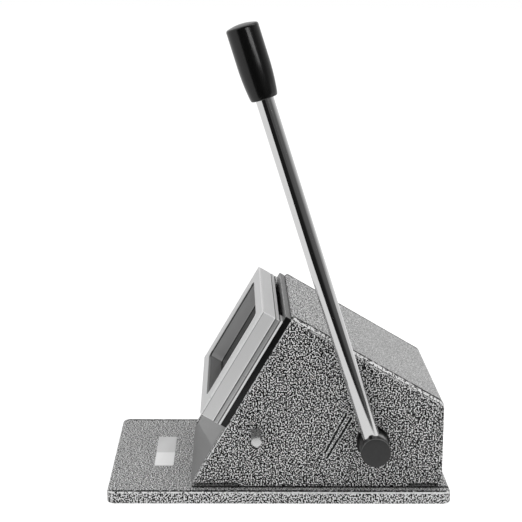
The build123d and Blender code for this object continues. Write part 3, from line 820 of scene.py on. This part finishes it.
def grown(name, tree, settings, places, aims):
    # runs a Geometry Nodes tree on points, each with the direction that its copy faces
    mesh = bpy.data.meshes.new(name + "Places")
    mesh.from_pydata(places, [], [])
    aim = mesh.attributes.new("aim", "FLOAT_VECTOR", "POINT")
    for entry, direction in zip(aim.data, aims):
        entry.vector = direction
    holder = linked(name + "Seed", mesh)
    modifier = holder.modifiers.new("grow", "NODES")
    modifier.node_group = tree
    sockets = {item.name: item.identifier for item in tree.interface.items_tree if item.in_out == "INPUT"}
    for label, setting in settings.items():
        modifier[sockets[label]] = setting
    return smoothed(plainMesh(holder, name), dressing["sharp"])


def startTree(name, sizes):
    # a tree with one named input for each size, and the finish
    tree = bpy.data.node_groups.new(name, "GeometryNodeTree")
    tree.interface.new_socket("Geometry", in_out="INPUT", socket_type="NodeSocketGeometry")
    for label, start in sizes.items():
        socket = tree.interface.new_socket(label, in_out="INPUT", socket_type="NodeSocketFloat")
        socket.default_value = start
    tree.interface.new_socket("Finish", in_out="INPUT", socket_type="NodeSocketMaterial")
    tree.interface.new_socket("Geometry", in_out="OUTPUT", socket_type="NodeSocketGeometry")
    sheet = Sheet(tree)
    group = sheet.node("NodeGroupInput")
    return sheet, {socket.name: Value(sheet, socket) for socket in group.outputs if socket.name}


def endTree(sheet, feeds, shape):
    # one copy of the shape on each point, turned to its aim, then made real
    aim = sheet.value("GeometryNodeInputNamedAttribute", {"data_type": "FLOAT_VECTOR"}, {0: "aim"})
    turn = sheet.value("FunctionNodeAlignRotationToVector", {"axis": "Z"}, {"Vector": aim})
    copies = {"Points": feeds["Geometry"], "Instance": shape, "Rotation": turn}
    spread = sheet.value("GeometryNodeInstanceOnPoints", None, copies)
    real = sheet.value("GeometryNodeRealizeInstances", None, {"Geometry": spread})
    made = sheet.value("GeometryNodeSetMaterial", None, {"Geometry": real, "Material": feeds["Finish"]})
    sheet.node("NodeGroupOutput", None, {0: made})
    return sheet.tree


def gathered(sheet, node, socket, *shapes):
    # one socket of a node takes all of the shapes
    for shape in shapes:
        sheet.tree.links.new(shape.socket, node.inputs[socket])
    return Value(sheet, node.outputs[0])


def joined(sheet, *shapes):
    return gathered(sheet, sheet.node("GeometryNodeJoinGeometry"), 0, *shapes)


def carved(sheet, operation, shapes, start=None):
    settings = {"operation": operation, "solver": "EXACT"}
    return gathered(sheet, sheet.node("GeometryNodeMeshBoolean", settings, start), 1, *shapes)


def coiled(sheet, profile, steps, turns, radius, height):
    # a closed tube of a profile, wound up from zero with so many steps in a turn
    feeds = {"Resolution": steps, "Rotations": turns, "Start Radius": radius, "End Radius": radius}
    helix = sheet.value("GeometryNodeCurveSpiral", None, dict(feeds, Height=height))
    tube = {"Curve": helix, "Profile Curve": profile, "Fill Caps": True}
    return sheet.value("GeometryNodeCurveToMesh", None, tube)


def lifted(sheet, shape, lift):
    offset = sheet.value("ShaderNodeCombineXYZ", None, {2: lift})
    return sheet.value("GeometryNodeTransform", None, {"Geometry": shape, "Translation": offset})


screwColumns = (
    "Head Radius", "Neck Radius", "Head Height", "Shank Radius", "Socket Radius", "Socket Depth",
    "Pitch", "Edge")
screwStyles = {
    "sunk3": (0.00275, 0.0015, 0.00165, 0.0015, 0.0012, 0.0011, 0.0005, 0.0001),
    "sunk4": (0.0039, 0.002, 0.0022, 0.002, 0.0015, 0.0014, 0.0007, 0.0001),
    "cap3": (0.00275, 0.00275, 0.003, 0.0015, 0.0014, 0.0015, 0.0005, 0.0003),
    "cap4": (0.0035, 0.0035, 0.004, 0.002, 0.0017, 0.002, 0.0007, 0.0003),
    "cap5": (0.00425, 0.00425, 0.005, 0.0025, 0.0023, 0.0025, 0.0008, 0.0004),
    "cap6": (0.005, 0.005, 0.006, 0.003, 0.0028, 0.003, 0.001, 0.0004),
}


def coned(sheet, depth, top, bottom):
    feeds = {"Vertices": 40, "Depth": depth, "Radius Top": top, "Radius Bottom": bottom}
    return sheet.value("GeometryNodeMeshCone", None, feeds)


def screwTree():
    # head with a hex socket, core and a wound thread; the head's top is at zero and faces up
    sheet, size = startTree("socketScrew", dict(zip(screwColumns, screwStyles["cap4"]), Length=0.016))
    height = size["Head Height"]
    head = coned(sheet, height, size["Head Radius"], size["Neck Radius"])
    past = size["Edge"]
    rim = size["Head Radius"] - past
    bevel = lifted(sheet, coned(sheet, height + past * 2, rim - past, rim + height + past), 0 - past)
    head = lifted(sheet, carved(sheet, "INTERSECT", (head, bevel)), 0 - height)
    hollow = {"Vertices": 6, "Radius": size["Socket Radius"], "Depth": size["Socket Depth"] * 2}
    hollow = sheet.value("GeometryNodeMeshCylinder", None, hollow)
    head = carved(sheet, "DIFFERENCE", (hollow,), {0: head})
    pitch = size["Pitch"]
    wound = size["Length"] - height
    core = size["Shank Radius"] - pitch * 0.3
    shank = {"Vertices": 20, "Radius": core, "Depth": wound}
    shank = sheet.value("GeometryNodeMeshCylinder", None, shank)
    shank = lifted(sheet, shank, 0 - height - wound * 0.5)
    ridge = {"Resolution": 4, "Radius": pitch * 0.29}
    ridge = sheet.value("GeometryNodeCurvePrimitiveCircle", None, ridge)
    thread = coiled(sheet, ridge, 14, (wound - pitch) / pitch, core, wound - pitch)
    thread = lifted(sheet, thread, pitch * 0.5 - size["Length"])
    return endTree(sheet, size, joined(sheet, head, shank, thread))


springSizes = {"Coil Radius": 0.0039, "Wire Radius": 0.0005, "Length": 0.0152, "Turns": 5.5}


def springTree():
    # round wire wound up from zero, with a closed turn at each end
    sheet, size = startTree("woundSpring", springSizes)
    wire = size["Wire Radius"]
    coil = size["Coil Radius"]
    circle = sheet.value("GeometryNodeCurvePrimitiveCircle", None, {"Resolution": 10, "Radius": wire})
    closed = wire * 2
    middle = size["Length"] - closed * 2 - wire * 2
    runs = (1.0, closed, 0.0), (size["Turns"], middle, closed), (1.0, closed, closed + middle)
    tubes = []
    for turns, height, start in runs:
        tubes.append(lifted(sheet, coiled(sheet, circle, 28, turns, coil, height), start + wire))
    return endTree(sheet, size, joined(sheet, *tubes))


plates = {  # how far a plate's edges are softened, and which of them
    "base_plate": (), "side_plate_right": (), "side_plate_left": (), "top_cover": (0.0015, "brow"),
    "front_panel": (0.0003,), "guide_plate": (0.0004, "outer"), "slot_spacer": (0.00025, "outer"),
    "die_plate": (0.0003, "outer"), "window_frame": (0.0007, "outer"), "shaft_bush_right": (),
    "shaft_bush_left": (), "cam_shaft": (), "tie_bar": (),
}
for node, softening in plates.items():
    dressed(node, *softening)
print("plates dressed:", len(plates))

screwKinds = {  # the way the heads face, and the style; without a way they face the middle
    "base_screws": ((0, 0, -1), "sunk4"), "cover_screws": ((0, 1, 0), "sunk3"),
    "guide_screws": (outward, "sunk3"), "stack_screws": (-outward, "cap4"),
    "panel_screws": (None, "cap3"), "ram_screws": (-outward, "cap6"),
    "tie_bar_screw": ((-1, 0, 0), "cap5"),
}
tree = screwTree()
for node, (aim, style) in screwKinds.items():
    places, aims = [], []
    for island in islands(node):
        facing = Vector(aim) if aim else Vector((-1 if island[0].x > 0 else 1, 0, 0))
        place, length = endOf(island, facing)
        places.append(place)
        aims.append(facing)
    settings = dict(zip(screwColumns, screwStyles[style]), Length=length, Finish=finishes["screw_steel"])
    standIn(node, welded(grown(camel(node), tree, settings, places, aims)))
    print("screws:", camel(node), len(places), "length", round(length, 4))

springNodes = [f"return_spring_{order}" for order in (1, 2, 3, 4)]
places = [endOf(islands(node)[0], -outward)[0] for node in springNodes]
settings = dict(springSizes, Finish=finishes["spring_steel"])
mesh = grown("returnSprings", springTree(), settings, places, [outward] * len(places))
springs = newPiece("returnSprings", mesh, "spring_steel", "housing", *springNodes)
places[0] + outward * springSizes["Length"]
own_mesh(springs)
print("springs wound:", len(places))

roundSteps = 96  # facets round the lever's pieces
rodSizes = {"radius": 0.005, "start": 0.0066, "ring": 0.0366, "end": 0.2365, "edge": 0.0005}
rodFoot = Vector((middleOf("lever_rod").x, shaftPlace.y, shaftPlace.z))
radius, start, ring, end, edge = rodSizes.values()
outline = [(0, start), (radius, start), (radius, ring), (radius, end - edge)]
outline += [(radius - edge, end), (0, end)]
turnedPiece("lever_rod", outline, rodFoot, rodAlong, roundSteps)

gripSizes = {
    "start": 0.2085, "length": 0.042, "footRadius": 0.0075, "waistRadius": 0.00875, "radius": 0.00905,
    "footEdge": 0.0008, "taper": 0.022, "taperSteps": 16, "rim": 0.0014, "rimTurn": 78, "rimShare": 0.72,
    "dome": 0.0016, "domeSteps": 10, "bore": 0.00505, "boreDepth": 0.0285,
}


def gripOutline():
    # swells from its foot to the waist, runs straight, and ends in a low dome with a round rim
    size = gripSizes
    foot, edge, top, rim = size["footRadius"], size["footEdge"], size["radius"], size["rim"]
    points = [(0, size["boreDepth"]), (size["bore"], size["boreDepth"]), (size["bore"], 0.0)]
    points += arcPoints((foot - edge, edge), edge, -90, 0, 6)
    bend = 2 * size["waistRadius"] - (foot + top) / 2
    for step in range(1, size["taperSteps"] + 1):
        share = step / size["taperSteps"]
        radius = (1 - share) ** 2 * foot + 2 * (1 - share) * share * bend + share ** 2 * top
        points.append((radius, max(edge, size["taper"] * share)))
    shoulder = size["length"] - size["dome"] - rim * size["rimShare"]
    points += arcPoints((top - rim, shoulder), rim, 0, size["rimTurn"], 8)
    rimRadius, rimHeight = points[-1]
    for step in range(1, size["domeSteps"]):
        left = 1 - step / size["domeSteps"]
        points.append((rimRadius * left, rimHeight + (size["length"] - rimHeight) * (1 - left ** 2)))
    points.append((0, size["length"]))
    return points


gripFoot = rodFoot + rodAlong * gripSizes["start"]
turnedPiece("lever_grip", gripOutline(), gripFoot, rodAlong, roundSteps)

hubSizes = {"radius": 0.0085, "edge": 0.0007, "footEdge": 0.0003, "footTurn": -60, "face": 0.0051}
hubLow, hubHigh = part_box("lever_hub")
radius, edge, foot, footTurn, face = hubSizes.values()
length = hubHigh.x - hubLow.x
outline = [(0, 0), (radius - foot, 0)] + arcPoints((radius - foot, foot), foot, footTurn, 0, 3)
outline += arcPoints((radius - edge, length - edge), edge, 0, 90, 6) + [(face, length), (0, length)]
turnedPiece("lever_hub", outline, (hubLow.x, shaftPlace.y, shaftPlace.z), (1, 0, 0), roundSteps)

pinSizes = {"radius": 0.003, "edge": 0.0005, "steps": 64}
pinLow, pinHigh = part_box("stop_pin")
pinMiddle = middleOf("stop_pin")
length = pinHigh.x - pinLow.x
radius, edge, steps = pinSizes.values()
outline = [(0, 0), (radius, 0)] + arcPoints((radius - edge, length - edge), edge, 0, 90, 6)
outline.append((0, length))
turnedPiece("stop_pin", outline, (pinLow.x, pinMiddle.y, pinMiddle.z), (1, 0, 0), steps)
print("lever and pin turned")


def labelMesh():
    # thin foil with round corners, on the base in front of the panel
    size = labelLook
    corner, top, thickness = size["corner"], size["top"], size["thickness"]
    lowX, highX = size["lowX"] + corner, size["highX"] - corner
    lowY, highY = size["lowY"] + corner, size["highY"] - corner
    outline = []
    for order, middle in enumerate(((highX, highY), (lowX, highY), (lowX, lowY), (highX, lowY))):
        outline += arcPoints(middle, corner, order * 90, order * 90 + 90, 6)
    book = bmesh.new()
    face = book.faces.new([book.verts.new((x, y, top)) for x, y in outline])
    raised = bmesh.ops.extrude_face_region(book, geom=[face])
    verts = [item for item in raised["geom"] if isinstance(item, bmesh.types.BMVert)]
    bmesh.ops.translate(book, verts=verts, vec=(0, 0, thickness))
    bmesh.ops.recalc_face_normals(book, faces=book.faces)
    rim = [edge for edge in book.edges if all(vert.co.z > top + thickness / 2 for vert in edge.verts)]
    soft = thickness * size["edgeShare"]
    bmesh.ops.bevel(book, geom=rim, offset=soft, segments=2, profile=0.5, affect="EDGES")
    return smoothed(bookMesh(book, "blankLabel"))


newPiece("blankLabel", labelMesh(), None, "housing", material=labelFoil)
print("label laid")

studio = {
    "ambient": 0.4, "cardLevel": 0.8, "darkLevel": 0.012, "roomLevel": 0.09, "roomDepth": 0.8,
    "glowLevel": 0.7, "glowHeights": (0.06, 0.12), "glowTurns": (74.0, 84.0), "floorReach": 8.0,
    "floorDrop": 0.0003, "floorLevel": 0.8, "floorGlow": 1.0, "floorShare": 0.35, "floorLift": 0.32,
    "edgeReach": 0.302, "edgeSoft": 0.012, "edgeSlantFront": 1.1, "edgeSlantRear": 0.19,
    "cornerFront": -0.2,
    "backdrop": (  # each is a share of the turn round the object, and how bright the room is there
        (0.0, 0.8), (0.352, 0.8), (0.375, 0.012), (0.49, 0.024), (0.54, 0.04), (0.6, 0.1), (0.7, 0.12),
        (0.735, 0.28), (0.79, 0.42), (0.85, 0.6), (0.9, 0.7)),
}


def seenBy(sheet):
    # whether the camera looks at a spot, and whether a reflection does
    path = sheet.node("ShaderNodeLightPath")
    return [Value(sheet, path.outputs[key]) for key in ("Is Camera Ray", "Is Glossy Ray")]


def studioWorld():
    # white for the camera; reflections see a bright backdrop behind and a dark room on the camera's side
    world = bpy.data.worlds.new("studio")
    scene.world = world
    sheet = emptied(world)
    x, y, z = sheet.parts(sheet.value("ShaderNodeTexCoord", output="Generated"))
    azimuth = sheet.value("ShaderNodeMath", {"operation": "ARCTAN2"}, {0: y, 1: x})
    turn = sheet.remap(azimuth, -pi, pi, kind="LINEAR")
    ramp = sheet.value("ShaderNodeValToRGB", {"stops": studio["backdrop"]}, {0: turn})
    low = sheet.remap(z, *studio["glowHeights"], 1.0, 0.0)
    beside = sheet.remap(azimuth, *[radians(angle) for angle in studio["glowTurns"]])
    shine = sheet.blend(1.0, ramp, sheet.grey(low * beside * studio["glowLevel"]), "LIGHTEN")
    camera, glossy = seenBy(sheet)
    colour = sheet.blend(glossy, tone(studio["ambient"]), shine)
    colour = sheet.blend(camera, colour, tone(1.0))
    sheet.node("ShaderNodeOutputWorld", None, {0: sheet.value("ShaderNodeBackground", None, {0: colour})})


def studioFloor():
    # pale floor that keeps a soft shadow, and ends in the dark on the camera's side as reflections see it
    mesh = bpy.data.meshes.new("floor")
    reach, low = studio["floorReach"], -studio["floorDrop"]
    corners = [(-reach, -reach, low), (reach, -reach, low), (reach, reach, low), (-reach, reach, low)]
    mesh.from_pydata(corners, [], [(0, 1, 2, 3)])
    floor = linked("floor", mesh)
    material = bpy.data.materials.new("floorPaper")
    sheet = emptied(material)
    x, y, _ = sheet.parts(sheet.point())
    front = (studio["cornerFront"] - y) * studio["edgeSlantFront"]
    rear = y * studio["edgeSlantRear"]
    reach, soft = studio["edgeReach"], studio["edgeSoft"]
    near = sheet.remap(x - front.most(0.0) - rear.most(0.0), reach - soft, reach + soft, 1.0, 0.0)
    camera, glossy = seenBy(sheet)
    paper = sheet.value("ShaderNodeBsdfDiffuse", None, {0: tone(studio["floorLevel"])})
    glow = sheet.value("ShaderNodeEmission", None, {0: tone(1.0), 1: studio["floorGlow"]})
    lift = sheet.value("ShaderNodeEmission", None, {0: tone(1.0), 1: studio["floorLift"]})
    shaded = sheet.value("ShaderNodeMixShader", None, {0: 1 - studio["floorShare"], 1: paper, 2: glow})
    seen = sheet.value("ShaderNodeAddShader", None, {0: shaded, 1: lift})
    room = sheet.remap(y, 0.0, studio["roomDepth"], studio["darkLevel"], studio["roomLevel"])
    shine = sheet.grey(room + near * (studio["cardLevel"] - studio["darkLevel"]))
    mirrored = sheet.value("ShaderNodeEmission", None, {0: shine, 1: 1.0})
    shader = sheet.value("ShaderNodeMixShader", None, {0: glossy, 1: paper, 2: mirrored})
    shader = sheet.value("ShaderNodeMixShader", None, {0: camera, 1: shader, 2: seen})
    sheet.node("ShaderNodeOutputMaterial", None, {0: shader})
    mesh.materials.append(material)


lamps = {  # place, the spot it points at, power, width, height, and whether reflections see it
    "topLight": ((0, 0.5, 1.25), (0, 0, 0.05), 4.5, 0.62, 1.5, True),
    "fillLight": ((1.2, -0.7, 0.7), (0, 0, 0.05), 3.65, 0.8, 0.8, False),
    "stripLight": ((0.699696, 0.387848, 0.4), (0.07, 0, 0.25), 0.5, 0.34, 0.1, True),
}


def lamp(name, place, target, power, wide, tall, mirrored):
    light = bpy.data.lights.new(name, "AREA")
    light.shape = "RECTANGLE"
    light.energy, light.size, light.size_y = power, wide, tall
    holder = linked(name, light)
    holder.location = place
    holder.rotation_euler = (Vector(target) - Vector(place)).to_track_quat("-Z", "Y").to_euler()
    holder.visible_glossy = mirrored
    holder.visible_camera = False


studioWorld()
studioFloor()
for name, settings in lamps.items():
    lamp(name, *settings)

view = {
    "place": (0.8652, -0.0269, 0.3089), "lens": 101.28, "sensor": 36.0, "clip": (0.01, 100.0),
    "right": (0.01752363, 0.99981423, 0.00802704), "up": (-0.20436537, -0.00427712, 0.97888534),
    "forward": (-0.97873782, 0.01879408, -0.20425245),
}
camera = linked("camera", bpy.data.cameras.new("camera"))
camera.data.lens, camera.data.sensor_width = view["lens"], view["sensor"]
camera.data.clip_start, camera.data.clip_end = view["clip"]
axes = Matrix((view["right"], view["up"], -Vector(view["forward"]))).transposed()
camera.matrix_world = Matrix.Translation(view["place"]) @ axes.to_4x4()
scene.camera = camera
scene.view_settings.view_transform = "Standard"
print("studio lit, camera placed")

bpy.context.view_layer.update()
